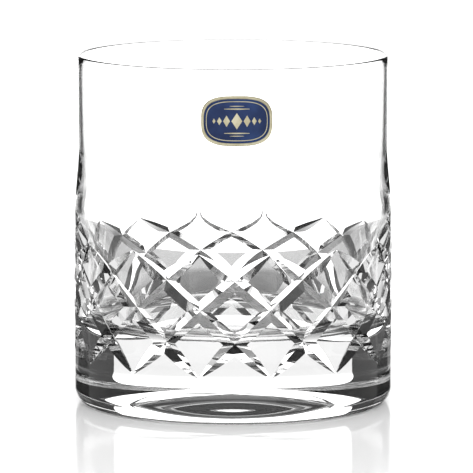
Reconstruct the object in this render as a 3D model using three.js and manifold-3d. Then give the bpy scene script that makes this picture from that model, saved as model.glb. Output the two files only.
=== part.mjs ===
// A whiskey tumbler in cut crystal: one blown, cut and polished glass body, and the foil seal stuck on its wall.
// Millimetres, +Z up. The foot stands on z = 0 and the axis of the glass is the Z axis; the seal faces -Y.
import * as THREE from "three";
import { mergeVertices } from "three/addons/utils/BufferGeometryUtils.js";
import Module from "manifold-3d";

const wasm = await Module();
wasm.setup();

const DEGREE = Math.PI / 180;

// ---- Driving dimensions ----

// The glass outside.
const HEIGHT = 90;
const RIM_RADIUS = 40; // outer radius of the plain upper wall
const BELLY_RADIUS = 41; // outer radius of the heavier wall that carries the cuts
const SHOULDER_TOP = 66; // the wall starts to thicken outwards below here
const SHOULDER_FOOT = 50; // and has its full radius from here down
const HEEL_WIDTH = 3; // the rounded edge between wall and foot
const HEEL_HEIGHT = 4;
const LIP_ROUND = 0.4; // half of the lip's thickness, fire-polished round

// The glass inside: radius of the cup at a few heights, from the lip down.
const CUP_WALL = [
  [39.2, HEIGHT - LIP_ROUND],
  [38.9, 70],
  [38.8, 62],
  [38.87, 57],
  [38.99, 54],
  [39.15, 50],
  [38.75, 45],
  [38.1, 40],
  [37.5, 34.5],
];
const CUP_FLOOR_RADIUS = 37.1;
const CUP_FLOOR = 20.5; // height of the cup's floor, so this is also the thickness of the base
const CUP_CORNER = 4; // radius of the corner between cup wall and floor

// The shallow bowl ground and polished under the foot.
const HOLLOW_RADIUS = 23;
const HOLLOW_DEPTH = 4.9;

// The cut pattern: mitre grooves that lean both ways and cross in four steps from top to bottom.
const TIPS_AROUND = 14;
const CUT_STEPS = 4;
const CUT_TOP = 43.4; // height of the upper tips
const CUT_DROP = 6.7; // fall of a groove over its first step
const CUT_STEEPEN = 0.3; // and how much steeper it gets with each step
const CUT_DEPTH = 1.5;
const CUT_HALF_WIDTH = 2.07; // half the width of a full groove at the surface
const CUT_PHASE = 0.7 * DEGREE; // angle of the middle crossing from the front
const CUTTER_HEIGHT = 2.8; // how far the wheel's flanks reach out from its edge
const RUN_OUT = 1.12; // the wheel leaves the glass over one step, and goes this far to be clear of it

// The seal.
const SEAL_WIDTH = 18;
const SEAL_HEIGHT = 12.6;
const SEAL_CENTRE = 77; // height of its centre
const SEAL_ANGLE = 1.4 * DEGREE; // its place around the wall, from the front
const SEAL_BORDER = 0.75; // width of the bare gold edge
const SEAL_POWER = 3; // 2 is an ellipse, more is nearer to a rectangle
const GLUE_GAP = 0.02;
const GLUE_THICKNESS = 0.04;
const GLUE_INSET = 0.1;
const FOIL_THICKNESS = 0.1;
const PRINT_THICKNESS = 0.03;
const LAYER_GAP = 0.01;

// How finely curves are divided.
const AROUND = 4 * TIPS_AROUND;
const SEAL_AROUND = 2 * AROUND;
const SEAL_OUTLINE = 36;
const STEPS_PER_CUT = 3 * CUT_STEPS;
const ARC_POINTS = 2;

// ---- Materials ----

function crystalMaterial() {
  return new THREE.MeshStandardMaterial({
    color: 0xf4f8f8,
    roughness: 0.02,
    metalness: 0,
    transparent: true,
    opacity: 0.3,
  });
}

function glueMaterial() {
  return new THREE.MeshStandardMaterial({ color: 0xe9e6dc, roughness: 0.6, metalness: 0 });
}

function goldFoilMaterial() {
  return new THREE.MeshStandardMaterial({ color: 0xcbb878, roughness: 0.35, metalness: 1 });
}

function bluePrintMaterial() {
  return new THREE.MeshStandardMaterial({ color: 0x22366e, roughness: 0.4, metalness: 0.2 });
}

// ---- Solids ----

// A closed three.js geometry as a manifold-3d solid. Triangles that fold up at the axis are dropped.
function solidOf(geometry) {
  const bare = geometry.clone();
  bare.deleteAttribute("normal");
  bare.deleteAttribute("uv");
  const merged = mergeVertices(bare, 1e-4);
  const corners = merged.index.array;
  const kept = [];
  for (let i = 0; i < corners.length; i += 3) {
    const [a, b, c] = [corners[i], corners[i + 1], corners[i + 2]];
    if (a !== b && b !== c && c !== a) kept.push(a, b, c);
  }
  const vertProperties = new Float32Array(merged.attributes.position.array);
  const triVerts = new Uint32Array(kept);
  return new wasm.Manifold(new wasm.Mesh({ numProp: 3, vertProperties, triVerts }));
}

function geometryOf(solid) {
  const mesh = solid.getMesh();
  const geometry = new THREE.BufferGeometry();
  geometry.setAttribute("position", new THREE.BufferAttribute(new Float32Array(mesh.vertProperties), 3));
  geometry.setIndex(new THREE.BufferAttribute(new Uint32Array(mesh.triVerts), 1));
  geometry.computeVertexNormals();
  return geometry;
}

// A profile of (radius, height) points turned about the Z axis.
function turned(profile, segments) {
  return new THREE.LatheGeometry(profile, segments).rotateX(Math.PI / 2);
}

// ---- The glass body ----

// The outline of the blank before cutting, from the axis under the foot round to the axis on the cup's floor.
function blankProfile() {
  const outline = new THREE.Path();
  const hollowCurve = (HOLLOW_RADIUS ** 2 + HOLLOW_DEPTH ** 2) / (2 * HOLLOW_DEPTH);
  const hollowHalfAngle = Math.asin(HOLLOW_RADIUS / hollowCurve);
  outline.absarc(0, HOLLOW_DEPTH - hollowCurve, hollowCurve, Math.PI / 2, Math.PI / 2 - hollowHalfAngle, true);
  const heelStart = BELLY_RADIUS - HEEL_WIDTH;
  outline.lineTo(heelStart, 0);
  outline.absellipse(heelStart, HEEL_HEIGHT, HEEL_WIDTH, HEEL_HEIGHT, -Math.PI / 2, 0, false, 0);
  outline.lineTo(BELLY_RADIUS, SHOULDER_FOOT);
  const waist = (SHOULDER_TOP + SHOULDER_FOOT) / 2;
  outline.bezierCurveTo(BELLY_RADIUS, waist, RIM_RADIUS, waist, RIM_RADIUS, SHOULDER_TOP);
  const lipCentre = RIM_RADIUS - LIP_ROUND;
  outline.lineTo(RIM_RADIUS, HEIGHT - LIP_ROUND);
  outline.absarc(lipCentre, HEIGHT - LIP_ROUND, LIP_ROUND, 0, Math.PI, false);
  CUP_WALL.slice(1).forEach(([radius, height]) => outline.lineTo(radius, height));
  outline.lineTo(CUP_FLOOR_RADIUS, CUP_FLOOR + CUP_CORNER);
  const cornerCentre = CUP_FLOOR_RADIUS - CUP_CORNER;
  outline.absarc(cornerCentre, CUP_FLOOR + CUP_CORNER, CUP_CORNER, 0, -Math.PI / 2, true);
  outline.lineTo(0, CUP_FLOOR);
  return outline.getPoints(ARC_POINTS);
}

// The path of the cutting wheel's edge along one groove. t runs from 0 to 1 over the whole pass.
class GroovePath extends THREE.Curve {
  constructor(startAngle, lean) {
    super();
    this.startAngle = startAngle;
    this.lean = lean;
  }

  getPoint(t, target = new THREE.Vector3()) {
    const step = 1 - RUN_OUT + t * (CUT_STEPS - 2 + 2 * RUN_OUT);
    const lift = Math.max(0, 1 - step, step - (CUT_STEPS - 1));
    const radius = BELLY_RADIUS - CUT_DEPTH * (1 - lift * lift);
    const angle = this.startAngle + (this.lean * step * Math.PI) / TIPS_AROUND;
    const height = CUT_TOP - CUT_DROP * step - CUT_STEEPEN * step * step;
    return target.set(radius * Math.sin(angle), -radius * Math.cos(angle), height);
  }

  // The section stands square to the path with its middle line pointing straight out of the glass.
  computeFrenetFrames(segments) {
    const frames = { tangents: [], normals: [], binormals: [] };
    for (let i = 0; i <= segments; i++) {
      const tangent = this.getTangentAt(i / segments);
      const outward = this.getPointAt(i / segments).setZ(0).normalize();
      const sideways = outward.cross(tangent).normalize();
      frames.tangents.push(tangent);
      frames.normals.push(sideways);
      frames.binormals.push(tangent.clone().cross(sideways));
    }
    return frames;
  }
}

function grooveCutter(startAngle, lean) {
  const flank = (CUTTER_HEIGHT * CUT_HALF_WIDTH) / CUT_DEPTH;
  const section = new THREE.Shape([
    new THREE.Vector2(0, 0),
    new THREE.Vector2(flank, CUTTER_HEIGHT),
    new THREE.Vector2(-flank, CUTTER_HEIGHT),
  ]);
  const extrudePath = new GroovePath(startAngle, lean);
  return solidOf(new THREE.ExtrudeGeometry(section, { steps: STEPS_PER_CUT, extrudePath }));
}

function glassBody() {
  let body = solidOf(turned(blankProfile(), AROUND));
  for (let tip = 0; tip < TIPS_AROUND; tip++) {
    const startAngle = CUT_PHASE + ((2 * tip + 1) * Math.PI) / TIPS_AROUND;
    for (const lean of [1, -1]) {
      body = body.subtract(grooveCutter(startAngle, lean));
    }
  }
  return geometryOf(body);
}

// ---- The seal: glue, foil and print, each a thin layer bent round the wall ----

// The rounded outline of a layer, inset from the edge of the foil.
function sealOutline(inset) {
  const outline = new THREE.Shape();
  for (let i = 0; i < SEAL_OUTLINE; i++) {
    const turn = (2 * Math.PI * i) / SEAL_OUTLINE;
    const across = Math.sign(Math.cos(turn)) * Math.abs(Math.cos(turn)) ** (2 / SEAL_POWER);
    const up = Math.sign(Math.sin(turn)) * Math.abs(Math.sin(turn)) ** (2 / SEAL_POWER);
    const x = across * (SEAL_WIDTH / 2 - inset);
    const y = up * (SEAL_HEIGHT / 2 - inset);
    if (i === 0) outline.moveTo(x, y);
    else outline.lineTo(x, y);
  }
  return outline;
}

function sealLayer(innerRadius, thickness, inset) {
  const low = SEAL_CENTRE - SEAL_HEIGHT;
  const high = SEAL_CENTRE + SEAL_HEIGHT;
  const ringProfile = [
    new THREE.Vector2(innerRadius, low),
    new THREE.Vector2(innerRadius + thickness, low),
    new THREE.Vector2(innerRadius + thickness, high),
    new THREE.Vector2(innerRadius, high),
    new THREE.Vector2(innerRadius, low),
  ];
  const ring = solidOf(turned(ringProfile, SEAL_AROUND));
  const punch = new THREE.ExtrudeGeometry(sealOutline(inset), { depth: 2 * RIM_RADIUS, bevelEnabled: false });
  punch.rotateX(Math.PI / 2).translate(0, 0, SEAL_CENTRE).rotateZ(SEAL_ANGLE);
  return geometryOf(ring.intersect(solidOf(punch)));
}

// ---- Assembly ----

function named(name, geometry, material) {
  const mesh = new THREE.Mesh(geometry, material);
  mesh.name = name;
  return mesh;
}

function seal() {
  const glueRadius = RIM_RADIUS + GLUE_GAP;
  const foilRadius = glueRadius + GLUE_THICKNESS + LAYER_GAP;
  const printRadius = foilRadius + FOIL_THICKNESS + LAYER_GAP;
  const layers = new THREE.Group();
  layers.add(named("label_adhesive", sealLayer(glueRadius, GLUE_THICKNESS, GLUE_INSET), glueMaterial()));
  layers.add(named("label_foil", sealLayer(foilRadius, FOIL_THICKNESS, 0), goldFoilMaterial()));
  layers.add(named("label_print", sealLayer(printRadius, PRINT_THICKNESS, SEAL_BORDER), bluePrintMaterial()));
  return layers;
}

const tumbler = new THREE.Group();
tumbler.add(named("glass_body", glassBody(), crystalMaterial()));
tumbler.add(seal());

export default tumbler;
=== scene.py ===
"""A whiskey tumbler in cut crystal with a foil seal, on a pale table in soft studio light.

The fine glass, the seal's layers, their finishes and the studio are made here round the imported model.
Lengths in the tables below are millimetres, as a glassworks drawing gives them; meshes are in metres.
"""

import math

import bpy
import numpy as np
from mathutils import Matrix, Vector


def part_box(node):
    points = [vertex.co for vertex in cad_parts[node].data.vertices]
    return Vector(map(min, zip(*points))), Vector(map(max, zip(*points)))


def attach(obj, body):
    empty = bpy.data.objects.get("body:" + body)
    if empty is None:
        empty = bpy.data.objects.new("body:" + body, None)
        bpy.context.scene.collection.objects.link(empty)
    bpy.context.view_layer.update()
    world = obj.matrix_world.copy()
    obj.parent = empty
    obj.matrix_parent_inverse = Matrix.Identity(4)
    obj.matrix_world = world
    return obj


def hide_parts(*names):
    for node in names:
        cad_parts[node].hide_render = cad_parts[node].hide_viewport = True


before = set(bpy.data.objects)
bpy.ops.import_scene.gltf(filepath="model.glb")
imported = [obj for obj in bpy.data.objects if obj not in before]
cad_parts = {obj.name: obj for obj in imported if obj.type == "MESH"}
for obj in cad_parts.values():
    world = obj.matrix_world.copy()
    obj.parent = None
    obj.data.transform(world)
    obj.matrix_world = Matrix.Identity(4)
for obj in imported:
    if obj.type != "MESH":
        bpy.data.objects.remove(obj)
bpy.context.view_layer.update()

MM = 0.001

# ---- The glass: driving dimensions, in millimetres ----

body_low, body_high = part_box("glass_body")
HEIGHT = (body_high[2] - body_low[2]) / MM
BELLY_RADIUS = (body_high[0] - body_low[0]) / 2 / MM
RIM_RADIUS = 40.0
SHOULDER_TOP = 66.0  # the wall thickens outwards from here
SHOULDER_FOOT = 50.0  # down to here
HEEL_WIDTH = 3.0
HEEL_HEIGHT = 4.0
LIP_ROUND = 0.4
CUP_WALL = [(39.2, HEIGHT - LIP_ROUND), (38.9, 70.0), (38.8, 62.0), (38.87, 57.0), (38.99, 54.0),
            (39.15, 50.0), (38.75, 45.0), (38.1, 40.0), (37.5, 34.5)]
CUP_FLOOR_RADIUS = 37.1
CUP_FLOOR = 20.5
CUP_CORNER = 4.0
HOLLOW_RADIUS = 23.0
HOLLOW_DEPTH = 4.9
HOLLOW_EDGE = 0.6  # softening of the ground edge between hollow and foot ring

# ---- The cut pattern ----

TIPS_AROUND = 14
CUT_STEPS = 4
CUT_TOP = 43.4
CUT_DROP = 6.7
CUT_STEEPEN = 0.3
CUT_DEPTH = 1.5
CUT_HALF_WIDTH = 2.07
CUT_PHASE = math.radians(0.7)
CUTTER_HEIGHT = 2.8
RUN_OUT = 1.12

# ---- How finely the glass is divided ----

AROUND = 28 * TIPS_AROUND
SAMPLES_PER_CUT = 96


# ---- Curves of the turned profile, each a list of (radius, height) ----

def straight(start, end, spacing=3.0):
    """Points on a line, both ends included."""
    count = max(1, round(math.dist(start, end) / spacing))
    return [tuple(np.array(start) + (np.array(end) - start) * i / count) for i in range(count + 1)]


def arc(centre, radii, first, last, count):
    """Points on a circle or ellipse from one angle to another, in degrees."""
    angles = np.radians(np.linspace(first, last, count + 1))
    return [(centre[0] + radii[0] * math.cos(a), centre[1] + radii[1] * math.sin(a)) for a in angles]


def smooth_through(points, spacing=1.5):
    """A soft curve through every point (Catmull-Rom)."""
    padded = [np.array(p, float) for p in [points[0], *points, points[-1]]]
    padded[0] = 2 * padded[1] - padded[2]
    padded[-1] = 2 * padded[-2] - padded[-3]
    out = []
    for a, b, c, d in zip(padded, padded[1:], padded[2:], padded[3:]):
        count = max(2, round(math.dist(b, c) / spacing))
        for i in range(count):
            t = i / count
            out.append(tuple(0.5 * (2 * b + (c - a) * t + (2 * a - 5 * b + 4 * c - d) * t * t
                                    + (3 * b - a - 3 * c + d) * t ** 3)))
    return out + [tuple(points[-1])]


def blank_profile():
    """The uncut blank, from the axis under the foot round to the axis on the cup's floor."""
    curve = (HOLLOW_RADIUS ** 2 + HOLLOW_DEPTH ** 2) / (2 * HOLLOW_DEPTH)
    lean = math.degrees(math.asin(HOLLOW_RADIUS / curve))
    edge_run = HOLLOW_EDGE * math.tan(math.radians(lean / 2))
    inner_lean = math.degrees(math.asin((HOLLOW_RADIUS - edge_run) / curve))
    hollow = arc((0, HOLLOW_DEPTH - curve), (curve, curve), 90, 90 - inner_lean, 36)
    edge = arc((HOLLOW_RADIUS + edge_run, HOLLOW_EDGE), (HOLLOW_EDGE, HOLLOW_EDGE), 270 - lean, 270, 6)
    heel_start = BELLY_RADIUS - HEEL_WIDTH
    foot = straight((HOLLOW_RADIUS + edge_run, 0), (heel_start, 0), 2.0)
    heel = arc((heel_start, HEEL_HEIGHT), (HEEL_WIDTH, HEEL_HEIGHT), -90, 0, 18)
    belly = straight((BELLY_RADIUS, HEEL_HEIGHT), (BELLY_RADIUS, SHOULDER_FOOT), 2.0)
    shoulder = []
    for i in range(21):
        t = i / 20
        blend = t * t * (3 - 2 * t)
        radius = BELLY_RADIUS + (RIM_RADIUS - BELLY_RADIUS) * blend
        shoulder.append((radius, SHOULDER_FOOT + (SHOULDER_TOP - SHOULDER_FOOT) * t))
    lip_height = HEIGHT - LIP_ROUND
    wall = straight((RIM_RADIUS, SHOULDER_TOP), (RIM_RADIUS, lip_height))
    lip = arc((RIM_RADIUS - LIP_ROUND, lip_height), (LIP_ROUND, LIP_ROUND), 0, 180, 14)
    cup = smooth_through([*CUP_WALL, (CUP_FLOOR_RADIUS, CUP_FLOOR + CUP_CORNER)])
    corner_radius = CUP_FLOOR_RADIUS - CUP_CORNER
    corner = arc((corner_radius, CUP_FLOOR + CUP_CORNER), (CUP_CORNER, CUP_CORNER), 0, -90, 20)
    cup_floor = straight((corner_radius, CUP_FLOOR), (0, CUP_FLOOR), 3.0)
    outline = []
    for stretch in (hollow, edge, foot, heel, belly, shoulder, wall, lip, cup, corner, cup_floor):
        for point in stretch:
            if not outline or math.dist(point, outline[-1]) > 0.01:
                outline.append(point)
    return np.array(outline)


def profile_normals(outline):
    """Outward normals of the profile at its points, in the (radius, height) plane."""
    along = np.empty_like(outline)
    ahead = outline[1:] - outline[:-1]
    ahead /= np.linalg.norm(ahead, axis=1)[:, None]
    along[1:-1] = ahead[1:] + ahead[:-1]
    along[0] = (1, 0)
    along[-1] = (-1, 0)
    along /= np.linalg.norm(along, axis=1)[:, None]
    return np.stack([along[:, 1], -along[:, 0]], axis=1)


def turned_mesh(name, outline, around):
    """A closed solid of revolution about Z, whose profile starts and ends on the axis."""
    ring = outline[1:-1]
    angles = np.arange(around) * 2 * math.pi / around
    spun = np.stack([np.outer(ring[:, 0], np.cos(angles)), np.outer(ring[:, 0], np.sin(angles)),
                     np.repeat(ring[:, 1:], around, axis=1)], axis=2).reshape(-1, 3)
    ends = np.array([[0, 0, outline[0, 1]], [0, 0, outline[-1, 1]]])
    points = np.vstack([spun, ends]) * MM
    faces = []
    for row in range(len(ring) - 1):
        for i in range(around):
            j = (i + 1) % around
            a, b = row * around, (row + 1) * around
            faces.append((a + i, a + j, b + j, b + i))
    low, high = len(spun), len(spun) + 1
    last = (len(ring) - 1) * around
    for i in range(around):
        j = (i + 1) % around
        faces.append((low, j, i))
        faces.append((high, last + i, last + j))
    mesh = bpy.data.meshes.new(name)
    mesh.from_pydata(points.tolist(), [], faces)
    return mesh


# ---- The cut: the path of the wheel's edge, and the wedge of glass that it takes away ----

def wheel_path(tip, lean):
    """Edge points of one groove with the sideways and outward directions of the wheel there."""
    t = np.linspace(0, 1, SAMPLES_PER_CUT + 1)
    step = 1 - RUN_OUT + t * (CUT_STEPS - 2 + 2 * RUN_OUT)
    lift = np.maximum(0, np.maximum(1 - step, step - (CUT_STEPS - 1)))
    radius = BELLY_RADIUS - CUT_DEPTH * (1 - lift * lift)
    angle = CUT_PHASE + (2 * tip + 1 + lean * step) * math.pi / TIPS_AROUND
    height = CUT_TOP - CUT_DROP * step - CUT_STEEPEN * step * step
    edge = np.stack([radius * np.sin(angle), -radius * np.cos(angle), height], axis=1)
    out = np.stack([np.sin(angle), -np.cos(angle), 0 * angle], axis=1)
    along = np.gradient(edge, axis=0)
    along /= np.linalg.norm(along, axis=1)[:, None]
    sideways = np.cross(out, along)
    sideways /= np.linalg.norm(sideways, axis=1)[:, None]
    outward = np.cross(along, sideways)
    return edge, sideways, outward


def all_grooves():
    """Every groove as a dict of its edge line, its two outer flank lines and their flank normals."""
    flank = CUTTER_HEIGHT * CUT_HALF_WIDTH / CUT_DEPTH
    grooves = []
    for tip in range(TIPS_AROUND):
        for lean in (1, -1):
            edge, sideways, outward = wheel_path(tip, lean)
            groove = {"edge": edge, "sideways": sideways, "sides": []}
            for hand in (1, -1):
                outer = edge + hand * flank * sideways + CUTTER_HEIGHT * outward
                rise = outer - edge
                rise /= np.linalg.norm(rise, axis=1)[:, None]
                normals = []
                for line in (edge, outer):
                    along = np.gradient(line, axis=0)
                    facing = np.cross(along, rise)
                    facing *= np.sign(np.sum(facing * outward, axis=1))[:, None]
                    normals.append(facing / np.linalg.norm(facing, axis=1)[:, None])
                groove["sides"].append({"outer": outer, "normals": normals})
            grooves.append(groove)
    return grooves


def cutter_mesh(name, grooves):
    """The wedges of all grooves in one mesh, each a closed three-sided bar."""
    points, faces = [], []
    for groove in grooves:
        start = len(points)
        right, left = (side["outer"] for side in groove["sides"])
        for trio in zip(groove["edge"], right, left):
            points.extend(Vector(p) * MM for p in trio)
        for i in range(SAMPLES_PER_CUT):
            a, b = start + 3 * i, start + 3 * (i + 1)
            for k in range(3):
                n = (k + 1) % 3
                faces.append((a + k, a + n, b + n, b + k))
        end = start + 3 * SAMPLES_PER_CUT
        faces.append((start + 2, start + 1, start))
        faces.append((end, end + 1, end + 2))
    mesh = bpy.data.meshes.new(name)
    mesh.from_pydata(points, [], faces)
    return mesh


def nearest_on_profile(outline, normals, points):
    """Smooth profile normals at points given as (radius, height)."""
    a, b = outline[:-1], outline[1:]
    along = b - a
    length = np.sum(along * along, axis=1)
    out = np.empty_like(points)
    for start in range(0, len(points), 20000):
        p = points[start:start + 20000, None, :]
        t = np.clip(np.sum((p - a) * along, axis=2) / length, 0, 1)
        gap = np.sum((a + t[..., None] * along - p) ** 2, axis=2)
        best = np.argmin(gap, axis=1)
        share = t[np.arange(len(best)), best][:, None]
        out[start:start + 20000] = normals[best] * (1 - share) + normals[best + 1] * share
    return out / np.linalg.norm(out, axis=1)[:, None]


def flank_of_faces(grooves, centres):
    """For each cut face, the groove and the side of it that the face lies on."""
    edges = np.array([g["edge"] for g in grooves])
    sideways = np.array([g["sideways"] for g in grooves])
    slope = CUT_HALF_WIDTH / CUT_DEPTH
    groove_of = np.empty(len(centres), int)
    side_of = np.empty(len(centres), int)
    for start in range(0, len(centres), 1500):
        p = centres[start:start + 1500]
        gap = ((p[:, None, None, :] - edges[None]) ** 2).sum(axis=3)
        sample = gap.argmin(axis=2)
        which = np.arange(len(grooves))[None, :]
        foot = edges[which, sample]
        across = sideways[which, sample]
        away = p[:, None, :] - foot
        side = np.sum(away * across, axis=2)
        out = np.stack([foot[..., 0], foot[..., 1], 0 * foot[..., 2]], axis=2)
        out /= np.linalg.norm(out, axis=2)[..., None]
        rise = np.sum(away * out, axis=2)
        misfit = np.abs(np.abs(side) - rise * slope)
        misfit[gap.min(axis=2) > (1.2 * CUTTER_HEIGHT * slope) ** 2] = np.inf
        best = misfit.argmin(axis=1)
        groove_of[start:start + 1500] = best
        side_of[start:start + 1500] = np.where(side[np.arange(len(p)), best] > 0, 0, 1)
    return groove_of, side_of


def flank_normals(groove, side, points):
    """Smooth normals of one flank of one groove at points on it."""
    edge = groove["edge"]
    outer = groove["sides"][side]["outer"]
    low, high = groove["sides"][side]["normals"]
    near = ((points[:, None, :] - edge[None]) ** 2).sum(axis=2).argmin(axis=1)
    near = np.clip(near, 1, len(edge) - 2)
    along = edge[near + 1] - edge[near - 1]
    share = np.sum((points - edge[near]) * along, axis=1) / np.sum(along * along, axis=1)
    share = np.clip(share, -0.5, 0.5)[:, None]
    flank = outer[near] - edge[near]
    height = np.sum((points - edge[near]) * flank, axis=1) / np.sum(flank * flank, axis=1)
    height = np.clip(height, 0, 1)[:, None]
    normal = (low[near] + (low[near + 1] - low[near - 1]) * share) * (1 - height)
    normal += (high[near] + (high[near + 1] - high[near - 1]) * share) * height
    return normal / np.linalg.norm(normal, axis=1)[:, None]


def true_normals(mesh, outline, grooves):
    """The exact normal of the polished surface at every corner of every face of the cut body."""
    profile = profile_normals(outline)
    points = np.empty(len(mesh.vertices) * 3)
    mesh.vertices.foreach_get("co", points)
    points = points.reshape(-1, 3) / MM
    corner_point = np.empty(len(mesh.loops), int)
    mesh.loops.foreach_get("vertex_index", corner_point)
    sizes = np.empty(len(mesh.polygons), int)
    mesh.polygons.foreach_get("loop_total", sizes)
    is_cut = np.empty(len(mesh.polygons), int)
    mesh.polygons.foreach_get("material_index", is_cut)
    corner_face = np.repeat(np.arange(len(sizes)), sizes)

    radius = np.hypot(points[:, 0], points[:, 1])
    turned = nearest_on_profile(outline, profile, np.stack([radius, points[:, 2]], axis=1))
    safe = np.maximum(radius, 1e-9)
    smooth = np.stack([turned[:, 0] * points[:, 0] / safe, turned[:, 0] * points[:, 1] / safe,
                       turned[:, 1]], axis=1)
    normals = smooth[corner_point]

    cut_faces = np.flatnonzero(is_cut)
    centres = np.zeros((len(sizes), 3))
    np.add.at(centres, corner_face, points[corner_point])
    centres /= sizes[:, None]
    groove_of, side_of = flank_of_faces(grooves, centres[cut_faces])
    key = np.full(len(sizes), -1)
    key[cut_faces] = groove_of * 2 + side_of
    corner_key = key[corner_face]
    for k in np.unique(key[cut_faces]):
        here = corner_key == k
        normals[here] = flank_normals(grooves[k // 2], k % 2, points[corner_point[here]])
    return normals


def glass_body():
    """The blank, turned, cut with every groove and given its polished normals."""
    outline = blank_profile()
    grooves = all_grooves()
    body = bpy.data.objects.new("crystal_body", turned_mesh("crystal_body", outline, AROUND))
    bpy.context.scene.collection.objects.link(body)
    as_turned, as_cut = bpy.data.materials.new("as_turned"), bpy.data.materials.new("as_cut")
    body.data.materials.append(as_turned)
    body.data.materials.append(as_cut)
    wedges = []
    for name, one_way in (("right_cuts", grooves[0::2]), ("left_cuts", grooves[1::2])):
        cutter = bpy.data.objects.new(name, cutter_mesh(name, one_way))
        bpy.context.scene.collection.objects.link(cutter)
        cutter.data.materials.append(as_turned)
        cutter.data.materials.append(as_cut)
        cutter.data.polygons.foreach_set("material_index", [1] * len(cutter.data.polygons))
        cut = body.modifiers.new(name, "BOOLEAN")
        cut.operation = "DIFFERENCE"
        cut.solver = "MANIFOLD"
        cut.object = cutter
        wedges.append(cutter)
    depsgraph = bpy.context.evaluated_depsgraph_get()
    finished = bpy.data.meshes.new_from_object(body.evaluated_get(depsgraph))
    body.modifiers.clear()
    body.data = finished
    for cutter in wedges:
        bpy.data.objects.remove(cutter)
    normals = true_normals(finished, outline, grooves)
    finished.shade_smooth()
    finished.normals_split_custom_set(normals.tolist())
    return body


# ---- The seal: a foil sticker bent round the wall ----

SEAL_WIDTH = 18.0
SEAL_HEIGHT = 12.6
SEAL_CENTRE = 77.0
SEAL_ANGLE = math.radians(1.4)
SEAL_BORDER = 0.75
SEAL_POWER = 3
SEAL_POINTS = 160
GLUE_BACK, GLUE_FRONT, GLUE_INSET = 0.02, 0.06, 0.1
FOIL_BACK, FOIL_FRONT = 0.07, 0.17
PRINT_BACK, PRINT_FRONT = 0.18, 0.21
LINE_BACK, LINE_FRONT = 0.215, 0.26


def bent(x, z, lift):
    """A point of the flat sticker laid on the wall: across, up from its centre, and off the wall."""
    turn = SEAL_ANGLE + x / RIM_RADIUS
    radius = (RIM_RADIUS + lift) * MM
    return (radius * math.sin(turn), -radius * math.cos(turn), (SEAL_CENTRE + z) * MM)


def seal_edge(inset):
    """The sticker's rounded outline, drawn in by an inset, as (across, up) points."""
    half_wide, half_high = SEAL_WIDTH / 2 - inset, SEAL_HEIGHT / 2 - inset
    power = 2 / SEAL_POWER
    edge = []
    for i in range(SEAL_POINTS):
        a = 2 * math.pi * i / SEAL_POINTS
        c, s = math.cos(a), math.sin(a)
        edge.append((half_wide * math.copysign(abs(c) ** power, c),
                     half_high * math.copysign(abs(s) ** power, s)))
    return edge


def lozenge_edge(centre, half_wide, half_high, per_side=6):
    """A four-pointed outline as (across, up) points."""
    corners = [(half_wide, 0), (0, half_high), (-half_wide, 0), (0, -half_high)]
    edge = []
    for a, b in zip(corners, corners[1:] + corners[:1]):
        for i in range(per_side):
            t = i / per_side
            edge.append((centre[0] + a[0] + (b[0] - a[0]) * t, centre[1] + a[1] + (b[1] - a[1]) * t))
    return edge


def add_body(points, faces, loops, middle):
    """Adds a closed body made of loops of equal length, capped at both ends by a fan round middle."""
    start, count = len(points), len(loops[0])
    for loop in loops:
        points.extend(bent(*p) for p in loop)
    for row in range(len(loops) - 1):
        a, b = start + row * count, start + (row + 1) * count
        for i in range(count):
            j = (i + 1) % count
            faces.append((a + i, a + j, b + j, b + i))
    back, front = len(points), len(points) + 1
    points.append(bent(*middle, loops[0][0][2]))
    points.append(bent(*middle, loops[-1][0][2]))
    last = start + (len(loops) - 1) * count
    for i in range(count):
        j = (i + 1) % count
        faces.append((back, start + j, start + i))
        faces.append((front, last + i, last + j))


def shrunk(edge, middle, share, lift):
    """An outline drawn towards its middle, at a lift off the wall."""
    return [(middle[0] + (x - middle[0]) * share, middle[1] + (z - middle[1]) * share, lift)
            for x, z in edge]


def plate_body(points, faces, inset, back, front, soften, middle=(0, 0)):
    """A flat layer with the sticker's outline, its front edge softly rounded."""
    rounding = [(inset, back), (inset, front - soften), (inset + 0.3 * soften, front - 0.3 * soften),
                (inset + soften, front)]
    loops = [[(x, z, lift) for x, z in seal_edge(step_in)] for step_in, lift in rounding]
    inner = seal_edge(inset + soften)
    loops += [shrunk(inner, middle, share, front) for share in (0.9, 0.75, 0.6, 0.45, 0.3, 0.15)]
    add_body(points, faces, loops, middle)


def seal_piece(name, build, replaced=None):
    """One layer of the seal as an object riding on the glass."""
    points, faces = [], []
    build(points, faces)
    mesh = bpy.data.meshes.new(name)
    mesh.from_pydata(points, [], faces)
    mesh.shade_smooth()
    mesh.set_sharp_from_angle(angle=math.radians(35))
    piece = bpy.data.objects.new(name, mesh)
    bpy.context.scene.collection.objects.link(piece)
    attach(piece, "root")
    if replaced:
        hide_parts(replaced)
    return piece


def build_glue(points, faces):
    """The film of glue, a little inside the foil's edge."""
    plate_body(points, faces, GLUE_INSET, GLUE_BACK, GLUE_FRONT, 0.02)


def build_foil(points, faces):
    """The foil, with a raised bead round its edge and a groove where the print starts."""
    bead = [(0, FOIL_BACK), (0, 0.10), (0.06, 0.19), (0.2, 0.25), (0.38, 0.27), (0.56, 0.25),
            (0.68, 0.19), (0.74, 0.14), (SEAL_BORDER + 0.08, FOIL_FRONT - 0.02),
            (SEAL_BORDER + 0.3, FOIL_FRONT)]
    loops = [[(x, z, lift) for x, z in seal_edge(step_in)] for step_in, lift in bead]
    inner = seal_edge(bead[-1][0])
    loops += [shrunk(inner, (0, 0), share, FOIL_FRONT) for share in (0.85, 0.7, 0.5, 0.3, 0.15)]
    add_body(points, faces, loops, (0, 0))


def build_print(points, faces):
    """The blue field, up to the bare gold border."""
    plate_body(points, faces, SEAL_BORDER, PRINT_BACK, PRINT_FRONT, 0.02)


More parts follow.
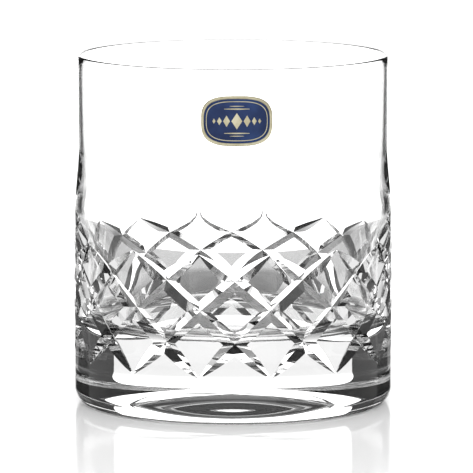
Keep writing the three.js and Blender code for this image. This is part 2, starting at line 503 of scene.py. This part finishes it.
def ornament_shape(points, faces, edge, middle, crown=0.03):
    """One gold shape of the ornament: a thin body with a softly crowned face."""
    loops = [[(x, z, LINE_BACK) for x, z in edge], [(x, z, LINE_FRONT - 0.02) for x, z in edge],
             shrunk(edge, middle, 0.82, LINE_FRONT), shrunk(edge, middle, 0.4, LINE_FRONT + crown)]
    add_body(points, faces, loops, middle)


def bar_edge(centre, length, width, pieces=16):
    """A fine rule, a little thinner toward its ends."""
    top = []
    for i in range(pieces + 1):
        t = 2 * i / pieces - 1
        top.append((centre[0] + t * length / 2, width / 2 * (1 - 0.75 * t * t)))
    ring = [(x, centre[1] + h) for x, h in reversed(top)]
    ring += [(x, centre[1] - h) for x, h in top]
    return ring


def rule_body(points, faces, inset, width):
    """A fine line that follows the sticker's outline."""
    start, count = len(points), SEAL_POINTS
    section = [(inset, LINE_BACK), (inset, LINE_FRONT),
               (inset + width, LINE_FRONT), (inset + width, LINE_BACK)]
    for step_in, lift in section:
        points.extend(bent(x, z, lift) for x, z in seal_edge(step_in))
    for k in range(4):
        a, b = start + k * count, start + (k + 1) % 4 * count
        for i in range(count):
            j = (i + 1) % count
            faces.append((a + i, a + j, b + j, b + i))


LOZENGES = [(0, 1.35, 2.05), (2.55, 0.85, 1.45), (4.35, 0.6, 1.0), (5.7, 0.4, 0.65)]
RULES = [(3.05, 6.4, 0.34), (3.75, 3.6, 0.22)]
OUTLINE_INSET, OUTLINE_WIDTH = 1.3, 0.17


def build_ornament(points, faces):
    """A row of lozenges between fine rules, inside a line that follows the edge."""
    rule_body(points, faces, OUTLINE_INSET, OUTLINE_WIDTH)
    for across, half_wide, half_high in LOZENGES:
        for hand in ((1, -1) if across else (1,)):
            middle = (hand * across, 0)
            ornament_shape(points, faces, lozenge_edge(middle, half_wide, half_high), middle)
    for up, length, width in RULES:
        for hand in (1, -1):
            middle = (0, hand * up)
            ornament_shape(points, faces, bar_edge(middle, length, width), middle)


# ---- Shader groups: effects that several finishes share ----

def new_group(name, inputs, outputs):
    """An empty shader group with named inputs (name, kind, value) and outputs (name, kind)."""
    group = bpy.data.node_groups.new(name, "ShaderNodeTree")
    for label, kind, value in inputs:
        socket = group.interface.new_socket(label, in_out="INPUT", socket_type="NodeSocket" + kind)
        if value is not None:
            socket.default_value = value
    for label, kind in outputs:
        group.interface.new_socket(label, in_out="OUTPUT", socket_type="NodeSocket" + kind)
    return group, group.nodes.new("NodeGroupInput"), group.nodes.new("NodeGroupOutput")


def add_node(tree, kind, links=(), values=(), **settings):
    """A node of one kind, with settings, input values and (input name, source socket) links."""
    node = tree.nodes.new(kind)
    for key, value in settings.items():
        setattr(node, key, value)
    for key, value in values:
        node.inputs[key].default_value = value
    for key, source in links:
        tree.links.new(source, node.inputs[key])
    return node


def polish_group():
    """Hand-polished glass: a faint swell of the surface, and a haze that comes and goes."""
    group, inside, outside = new_group(
        "polish", [("Swell Scale", "Float", 60.0), ("Swell Height", "Float", 0.1), ("Haze", "Float", 0.01)],
        [("Normal", "Vector"), ("Roughness", "Float")])
    where = add_node(group, "ShaderNodeTexCoord").outputs["Object"]
    swell = add_node(group, "ShaderNodeTexNoise",
                     [("Vector", where), ("Scale", inside.outputs["Swell Scale"])],
                     [("Detail", 1.0), ("Roughness", 0.4)])
    bump = add_node(group, "ShaderNodeBump",
                    [("Height", swell.outputs["Fac"]), ("Strength", inside.outputs["Swell Height"])],
                    [("Distance", 0.001)])
    cloud = add_node(group, "ShaderNodeTexNoise", [("Vector", where)], [("Scale", 90.0), ("Detail", 3.0)])
    haze = add_node(group, "ShaderNodeMath", [(0, cloud.outputs["Fac"]), (1, inside.outputs["Haze"])],
                    operation="MULTIPLY")
    group.links.new(bump.outputs["Normal"], outside.inputs["Normal"])
    group.links.new(haze.outputs[0], outside.inputs["Roughness"])
    return group


def grain_group():
    """A fine grain with a slow variation: a mask for colour, and a height for the surface."""
    group, inside, outside = new_group(
        "fine_grain",
        [("Scale", "Float", 3000.0), ("Slow Scale", "Float", 200.0), ("Stretch", "Vector", (1, 1, 1))],
        [("Grain", "Float"), ("Slow", "Float"), ("Height", "Float")])
    where = add_node(group, "ShaderNodeTexCoord").outputs["Object"]
    laid = add_node(group, "ShaderNodeVectorMath", [(0, where), (1, inside.outputs["Stretch"])],
                    operation="MULTIPLY")
    fine = add_node(group, "ShaderNodeTexNoise",
                    [("Vector", laid.outputs[0]), ("Scale", inside.outputs["Scale"])],
                    [("Detail", 4.0), ("Roughness", 0.6)])
    slow = add_node(group, "ShaderNodeTexNoise", [("Vector", where), ("Scale", inside.outputs["Slow Scale"])],
                    [("Detail", 2.0)])
    both = add_node(group, "ShaderNodeMath", [(0, fine.outputs["Fac"]), (1, slow.outputs["Fac"])],
                    operation="ADD")
    group.links.new(fine.outputs["Fac"], outside.inputs["Grain"])
    group.links.new(slow.outputs["Fac"], outside.inputs["Slow"])
    group.links.new(both.outputs[0], outside.inputs["Height"])
    return group


def place(tree, group, values=()):
    """A shader group set in a material, with its own values."""
    node = tree.nodes.new("ShaderNodeGroup")
    node.node_tree = group
    for key, value in values:
        node.inputs[key].default_value = value
    return node


def mixed_colour(tree, fac, first, second):
    """A colour between two, by a mask."""
    node = tree.nodes.new("ShaderNodeMix")
    node.data_type = "RGBA"
    node.inputs["A"].default_value = (*first, 1)
    node.inputs["B"].default_value = (*second, 1)
    tree.links.new(fac, node.inputs["Factor"])
    return node.outputs["Result"]


def ranged(tree, source, low, high, start=0.0, end=1.0):
    """A mask stretched from one range to another."""
    node = add_node(tree, "ShaderNodeMapRange", [("Value", source)],
                    [("From Min", start), ("From Max", end), ("To Min", low), ("To Max", high)])
    return node.outputs["Result"]


def maths(tree, operation, first, second):
    """One step of arithmetic on two masks or numbers."""
    node = tree.nodes.new("ShaderNodeMath")
    node.operation = operation
    for socket, value in zip(node.inputs, (first, second)):
        if isinstance(value, (int, float)):
            socket.default_value = value
        else:
            tree.links.new(value, socket)
    return node.outputs[0]


def new_material(name):
    """A material with only its output and a Principled shader."""
    material = bpy.data.materials.new(name)
    material.use_nodes = True
    tree = material.node_tree
    tree.nodes.clear()
    shader = tree.nodes.new("ShaderNodeBsdfPrincipled")
    output = tree.nodes.new("ShaderNodeOutputMaterial")
    tree.links.new(shader.outputs["BSDF"], output.inputs["Surface"])
    return material, tree, shader


# ---- Finishes ----

GLASS_IOR = 1.53


def crystal_finish(polish):
    """Clear crystal."""
    material, tree, shader = new_material("crystal")
    surface = place(tree, polish, [("Swell Scale", 60.0), ("Swell Height", 0.02), ("Haze", 0.004)])
    tree.links.new(surface.outputs["Normal"], shader.inputs["Normal"])
    tree.links.new(surface.outputs["Roughness"], shader.inputs["Roughness"])
    shader.inputs["Base Color"].default_value = (1, 1, 1, 1)
    shader.inputs["IOR"].default_value = GLASS_IOR
    shader.inputs["Transmission Weight"].default_value = 1.0
    return material


def glue_finish(grain):
    """The thin film of clear adhesive under the foil, a little milky."""
    material, tree, shader = new_material("clear_adhesive")
    surface = place(tree, grain, [("Scale", 1500.0), ("Slow Scale", 300.0)])
    colour = mixed_colour(tree, surface.outputs["Slow"], (0.72, 0.70, 0.62), (0.86, 0.85, 0.80))
    tree.links.new(colour, shader.inputs["Base Color"])
    tree.links.new(ranged(tree, surface.outputs["Grain"], 0.3, 0.5), shader.inputs["Roughness"])
    bump = add_node(tree, "ShaderNodeBump", [("Height", surface.outputs["Height"])],
                    [("Strength", 0.2), ("Distance", 0.00002)])
    tree.links.new(bump.outputs["Normal"], shader.inputs["Normal"])
    return material


def foil_finish(grain):
    """Pale gold foil with a rolled grain."""
    material, tree, shader = new_material("pale_gold_foil")
    surface = place(tree, grain, [("Scale", 4200.0), ("Slow Scale", 420.0), ("Stretch", (1, 1, 0.35))])
    colour = mixed_colour(tree, ranged(tree, surface.outputs["Slow"], 0, 1, 0.3, 0.7),
                          (0.62, 0.56, 0.36), (0.84, 0.79, 0.58))
    tree.links.new(colour, shader.inputs["Base Color"])
    tree.links.new(ranged(tree, surface.outputs["Grain"], 0.28, 0.5), shader.inputs["Roughness"])
    bump = add_node(tree, "ShaderNodeBump", [("Height", surface.outputs["Height"])],
                    [("Strength", 0.35), ("Distance", 0.00003)])
    tree.links.new(bump.outputs["Normal"], shader.inputs["Normal"])
    shader.inputs["Metallic"].default_value = 0.85
    return material


def ink_finish(grain):
    """Deep blue printing ink over foil, a little uneven where it was laid down."""
    material, tree, shader = new_material("deep_blue_ink")
    surface = place(tree, grain, [("Scale", 2600.0), ("Slow Scale", 260.0)])
    colour = mixed_colour(tree, ranged(tree, surface.outputs["Slow"], 0, 1, 0.3, 0.7),
                          (0.008, 0.022, 0.085), (0.018, 0.045, 0.150))
    tree.links.new(colour, shader.inputs["Base Color"])
    tree.links.new(ranged(tree, surface.outputs["Grain"], 0.35, 0.55), shader.inputs["Roughness"])
    bump = add_node(tree, "ShaderNodeBump", [("Height", surface.outputs["Height"])],
                    [("Strength", 0.25), ("Distance", 0.00002)])
    tree.links.new(bump.outputs["Normal"], shader.inputs["Normal"])
    shader.inputs["Specular IOR Level"].default_value = 0.25
    return material


# ---- The studio ----

# Two studios share one scene. Seen directly, the table and the room are soft white. A ray that has passed
# the glass meets lit cards close by, a dark polished table with patches of painted white glow, and a dim
# room, as in a bright-field set.
SOFT_LIGHT = 1.2  # the white room
FLOOR_HALF = 1.6
FLOOR_WHITE = 0.93
FLOOR_SHEEN_IOR = 1.12  # low, so that the table mirrors the glass only faintly
FLOOR_DARK = 0.06
FLOOR_IOR = 1.6
CARD_HALF, CARD_AWAY, CARD_HEIGHT = 0.085, 0.16, 0.14
BACK_CARD, SIDE_CARD, FRONT_CARD = 2.15, 0.9, 0.8
FAR_HALF, FAR_AWAY, FAR_HEIGHT = 0.25, 1.6, 1.2  # what the table mirrors behind each card
ROOM_DIM, ROOM_TOP = 0.06, 0.8  # the dim room, level and overhead
ROOM_RISE = (0.5, 0.85)  # upward part of the direction where it brightens

# The parts of the dark table given a painted white glow, an emission, for a look down through the glass.
CORNER_LEAN = (0.40, 0.52)  # nearer axis over farther one, where a corner begins
CORNER_START = (0.075, 0.105)  # distance from the glass's axis
CORNER_GRAZE = 0.80  # 0 looks straight down, 1 is level
STEEP_GRAZE = 0.15
GRAZE_SOFT = 0.02

LENS = 370.2
CAMERA_PLACE = (0.0009, -1.2462, 0.2108)
CAMERA_TILT = math.radians(90 - 7.688)


def add_camera():
    """The camera, a little above the rim and some way off."""
    data = bpy.data.cameras.new("camera")
    data.lens = LENS
    data.sensor_width = 36
    camera = bpy.data.objects.new("camera", data)
    camera.location = CAMERA_PLACE
    camera.rotation_euler = (CAMERA_TILT, 0, 0)
    bpy.context.scene.collection.objects.link(camera)
    bpy.context.scene.camera = camera


def flat_quad(name, corners, material):
    """A one-face sheet of the studio."""
    mesh = bpy.data.meshes.new(name)
    mesh.from_pydata(corners, [], [(0, 1, 2, 3)])
    mesh.materials.append(material)
    sheet = bpy.data.objects.new(name, mesh)
    bpy.context.scene.collection.objects.link(sheet)
    return sheet


def either_side(tree, test, first, second):
    """A shader that is the second where the test is 1."""
    mix = tree.nodes.new("ShaderNodeMixShader")
    tree.links.new(test, mix.inputs[0])
    tree.links.new(first, mix.inputs[1])
    tree.links.new(second, mix.inputs[2])
    return mix.outputs[0]


def open_view_ray(tree):
    """1 for rays straight from the camera or off a matt surface, 0 for mirrored and refracted ones."""
    path = tree.nodes.new("ShaderNodeLightPath")
    return maths(tree, "MAXIMUM", path.outputs["Is Camera Ray"], path.outputs["Is Diffuse Ray"])


def steeper_than(tree, graze, limit):
    """A mask that is 1 where the look down is steeper than a limit."""
    return ranged(tree, graze, 1, 0, limit - GRAZE_SOFT, limit + GRAZE_SOFT)


def painted_glow_mask(tree):
    """Where the table is given a painted white glow through the glass: from nearly overhead, and towards its
    corners.

    This painted glow goes by the angle of the look, so it belongs to this table only and to no finish of the
    object.
    """
    weight = tree.nodes.new("ShaderNodeLayerWeight")
    weight.inputs["Blend"].default_value = 0.5
    graze = weight.outputs["Facing"]
    where = tree.nodes.new("ShaderNodeTexCoord").outputs["Object"]
    split = add_node(tree, "ShaderNodeSeparateXYZ", [(0, where)])
    x, y = (maths(tree, "ABSOLUTE", split.outputs[axis], 0) for axis in ("X", "Y"))
    lean = maths(tree, "DIVIDE", maths(tree, "MINIMUM", x, y), maths(tree, "MAXIMUM", x, y))
    away = add_node(tree, "ShaderNodeVectorMath", [(0, where)], operation="LENGTH").outputs["Value"]
    corner = maths(tree, "MULTIPLY", ranged(tree, lean, 0, 1, *CORNER_LEAN),
                   steeper_than(tree, graze, CORNER_GRAZE))
    corner = maths(tree, "MULTIPLY", corner, ranged(tree, away, 0, 1, *CORNER_START))
    return maths(tree, "MAXIMUM", corner, steeper_than(tree, graze, STEEP_GRAZE))


def add_floor():
    """A white table; what the glass gathers from it is its polished top, with a painted white glow in parts.
    """
    material, tree, shader = new_material("white_table")
    shader.inputs["Base Color"].default_value = (FLOOR_WHITE, FLOOR_WHITE, FLOOR_WHITE, 1)
    shader.inputs["Roughness"].default_value = 0.12
    shader.inputs["IOR"].default_value = FLOOR_SHEEN_IOR
    polished = tree.nodes.new("ShaderNodeBsdfPrincipled")
    polished.inputs["Base Color"].default_value = (FLOOR_DARK, FLOOR_DARK, FLOOR_DARK, 1)
    polished.inputs["Roughness"].default_value = 0.0
    polished.inputs["IOR"].default_value = FLOOR_IOR
    # painted glow: the table emits white here to rays through the glass, by the angle of the look, though it
    # is no lamp
    painted_glow = tree.nodes.new("ShaderNodeEmission")
    gathered = either_side(tree, painted_glow_mask(tree), polished.outputs[0], painted_glow.outputs[0])
    out = tree.nodes["Material Output"]
    tree.links.new(either_side(tree, open_view_ray(tree), gathered, shader.outputs[0]), out.inputs["Surface"])
    h = FLOOR_HALF
    flat_quad("table_top", [(-h, -h, 0), (h, -h, 0), (h, h, 0), (-h, h, 0)], material)


def glow(name, strength):
    """The even light of a card."""
    material = bpy.data.materials.new(name)
    material.use_nodes = True
    tree = material.node_tree
    tree.nodes.clear()
    light = tree.nodes.new("ShaderNodeEmission")
    light.inputs["Strength"].default_value = strength
    output = tree.nodes.new("ShaderNodeOutputMaterial")
    tree.links.new(light.outputs[0], output.inputs["Surface"])
    return material


def upright_card(name, turn, half, away, height, strength):
    """A lit sheet standing on the table, turned round the glass's axis in quarter turns."""
    c, s = round(math.cos(math.radians(turn))), round(math.sin(math.radians(turn)))
    flat = [(-half, away, 0), (half, away, 0), (half, away, height), (-half, away, height)]
    card = flat_quad(name, [(x * c - y * s, x * s + y * c, z) for x, y, z in flat], glow(name, strength))
    card.visible_camera = card.visible_diffuse = card.visible_shadow = False
    return card


def add_cards():
    """A lit card close to each side of the glass, dark gaps between, and a far one behind each."""
    for name, turn, strength in (("card_back", 0, BACK_CARD), ("card_left", 90, SIDE_CARD),
                                 ("card_front", 180, FRONT_CARD), ("card_right", 270, SIDE_CARD)):
        upright_card(name, turn, CARD_HALF, CARD_AWAY, CARD_HEIGHT, strength)
        far = upright_card("far_" + name, turn, FAR_HALF, FAR_AWAY, FAR_HEIGHT, SOFT_LIGHT)
        far.visible_transmission = False


def add_world():
    """Soft white all round as seen directly, and the dim room past the cards."""
    world = bpy.data.worlds.new("studio")
    bpy.context.scene.world = world
    world.use_nodes = True
    world.cycles.sampling_method = "NONE"
    tree = world.node_tree
    tree.nodes.clear()
    room = tree.nodes.new("ShaderNodeBackground")
    where = tree.nodes.new("ShaderNodeTexCoord").outputs["Generated"]
    up = add_node(tree, "ShaderNodeSeparateXYZ", [(0, where)]).outputs["Z"]
    tree.links.new(ranged(tree, up, ROOM_DIM, ROOM_TOP, *ROOM_RISE), room.inputs["Strength"])
    soft = tree.nodes.new("ShaderNodeBackground")
    soft.inputs["Color"].default_value = (1, 1, 1, 1)
    soft.inputs["Strength"].default_value = SOFT_LIGHT
    output = tree.nodes.new("ShaderNodeOutputWorld")
    tree.links.new(either_side(tree, open_view_ray(tree), room.outputs[0], soft.outputs[0]),
                   output.inputs["Surface"])


def set_render():
    """Enough bounces for light to find its way out of the cut glass."""
    scene = bpy.context.scene
    scene.view_settings.view_transform = "Standard"
    scene.cycles.max_bounces = 40
    scene.cycles.transmission_bounces = 40
    scene.cycles.glossy_bounces = 16
    scene.cycles.diffuse_bounces = 4
    scene.cycles.transparent_max_bounces = 16


# ---- Making it ----

polish, fine_grain = polish_group(), grain_group()
glass = glass_body()
glass.data.materials.clear()
glass.data.materials.append(crystal_finish(polish))
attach(glass, "root")
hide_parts("glass_body")

foil, ink = foil_finish(fine_grain), ink_finish(fine_grain)
for name, build, slot, finish, node in (
        ("seal_glue", build_glue, "label_glue", glue_finish(fine_grain), "label_adhesive"),
        ("seal_foil", build_foil, "gold_foil", foil, "label_foil"),
        ("seal_print", build_print, "blue_print", ink, "label_print"),
        ("seal_ornament", build_ornament, "gold_foil", foil, None)):
    seal_piece(name, build, node).data.materials.append(finish)

add_camera()
add_floor()
add_cards()
add_world()
set_render()
